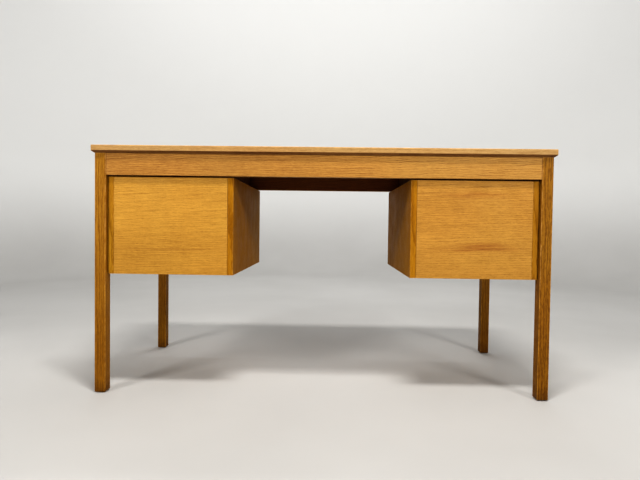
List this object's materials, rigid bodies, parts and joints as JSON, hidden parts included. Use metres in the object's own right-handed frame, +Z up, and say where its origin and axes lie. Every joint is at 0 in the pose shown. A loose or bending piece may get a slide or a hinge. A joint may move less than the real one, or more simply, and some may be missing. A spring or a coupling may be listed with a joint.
{
  "type": "teacher desk",
  "caption": "Free-standing oak desk: a thick lipped top on square legs and deep rails, with drawer pedestals hung below it on both sides of an open knee space.",
  "frame": {"origin": "on the floor, under the middle of the desktop", "axes": "+X along the desk to the visitor's right, +Y towards the sitter and the way the drawers open, +Z up"},
  "size_m": [1.35, 0.6, 0.73],
  "materials": {
    "oak_top": "oak veneer, satin lacquer",
    "oak_lipping": "solid oak, satin lacquer",
    "oak_legs": "solid oak, satin lacquer",
    "oak_rails": "solid oak, satin lacquer",
    "oak_pedestal_sides": "oak veneer with solid edges, satin lacquer",
    "oak_panels": "oak veneer, satin lacquer",
    "oak_pedestal_boards": "oak veneer, thin lacquer",
    "oak_drawer_fronts": "oak veneer, satin lacquer",
    "oak_pulls": "solid oak, satin lacquer, polished by hands",
    "beech_bearers": "planed beech, unfinished",
    "beech_drawer_boxes": "beech, thin lacquer",
    "plywood_drawer_bottoms": "birch plywood, thin lacquer",
    "beech_runners": "waxed beech",
    "screw_steel": "bright zinc-plated steel",
    "glide_steel": "nickel-plated steel"
  },
  "bodies": {
    "desk": {"top_panel": "oak_top", "top_lipping_visitor": "oak_lipping", "top_lipping_sitter": "oak_lipping", "top_lipping_left": "oak_lipping", "top_lipping_right": "oak_lipping", "leg_visitor_left": "oak_legs", "leg_visitor_right": "oak_legs", "leg_sitter_left": "oak_legs", "leg_sitter_right": "oak_legs", "rail_visitor": "oak_rails", "rail_sitter": "oak_rails", "rail_left": "oak_rails", "rail_right": "oak_rails", "bearer_left_outer": "beech_bearers", "bearer_left_inner": "beech_bearers", "bearer_right_outer": "beech_bearers", "bearer_right_inner": "beech_bearers", "foot_glides": "glide_steel", "top_screws": "screw_steel", "pedestal_screws": "screw_steel", "runner_screws": "screw_steel", "pedestal_left_outer_side": "oak_pedestal_sides", "pedestal_left_inner_side": "oak_pedestal_sides", "pedestal_left_top_board": "oak_pedestal_boards", "pedestal_left_bottom_board": "oak_pedestal_boards", "pedestal_left_visitor_panel": "oak_panels", "pedestal_left_outer_runners": "beech_runners", "pedestal_left_inner_runners": "beech_runners", "pedestal_right_outer_side": "oak_pedestal_sides", "pedestal_right_inner_side": "oak_pedestal_sides", "pedestal_right_top_board": "oak_pedestal_boards", "pedestal_right_bottom_board": "oak_pedestal_boards", "pedestal_right_visitor_panel": "oak_panels", "pedestal_right_outer_runners": "beech_runners", "pedestal_right_inner_runners": "beech_runners"},
    "drawer_left_upper": {"drawer_left_upper_front": "oak_drawer_fronts", "drawer_left_upper_outer_side": "beech_drawer_boxes", "drawer_left_upper_inner_side": "beech_drawer_boxes", "drawer_left_upper_back": "beech_drawer_boxes", "drawer_left_upper_bottom": "plywood_drawer_bottoms", "drawer_left_upper_pull": "oak_pulls"},
    "drawer_left_lower": {"drawer_left_lower_front": "oak_drawer_fronts", "drawer_left_lower_outer_side": "beech_drawer_boxes", "drawer_left_lower_inner_side": "beech_drawer_boxes", "drawer_left_lower_back": "beech_drawer_boxes", "drawer_left_lower_bottom": "plywood_drawer_bottoms", "drawer_left_lower_pull": "oak_pulls"},
    "drawer_right_upper": {"drawer_right_upper_front": "oak_drawer_fronts", "drawer_right_upper_outer_side": "beech_drawer_boxes", "drawer_right_upper_inner_side": "beech_drawer_boxes", "drawer_right_upper_back": "beech_drawer_boxes", "drawer_right_upper_bottom": "plywood_drawer_bottoms", "drawer_right_upper_pull": "oak_pulls"},
    "drawer_right_lower": {"drawer_right_lower_front": "oak_drawer_fronts", "drawer_right_lower_outer_side": "beech_drawer_boxes", "drawer_right_lower_inner_side": "beech_drawer_boxes", "drawer_right_lower_back": "beech_drawer_boxes", "drawer_right_lower_bottom": "plywood_drawer_bottoms", "drawer_right_lower_pull": "oak_pulls"}
  },
  "joints": [
    {"name": "drawer_left_upper_slide", "type": "slide", "parent": "desk", "child": "drawer_left_upper", "axis": [0, 1, 0], "range_m": [0, 0.38]},
    {"name": "drawer_left_lower_slide", "type": "slide", "parent": "desk", "child": "drawer_left_lower", "axis": [0, 1, 0], "range_m": [0, 0.38]},
    {"name": "drawer_right_upper_slide", "type": "slide", "parent": "desk", "child": "drawer_right_upper", "axis": [0, 1, 0], "range_m": [0, 0.38]},
    {"name": "drawer_right_lower_slide", "type": "slide", "parent": "desk", "child": "drawer_right_lower", "axis": [0, 1, 0], "range_m": [0, 0.38]}
  ]
}
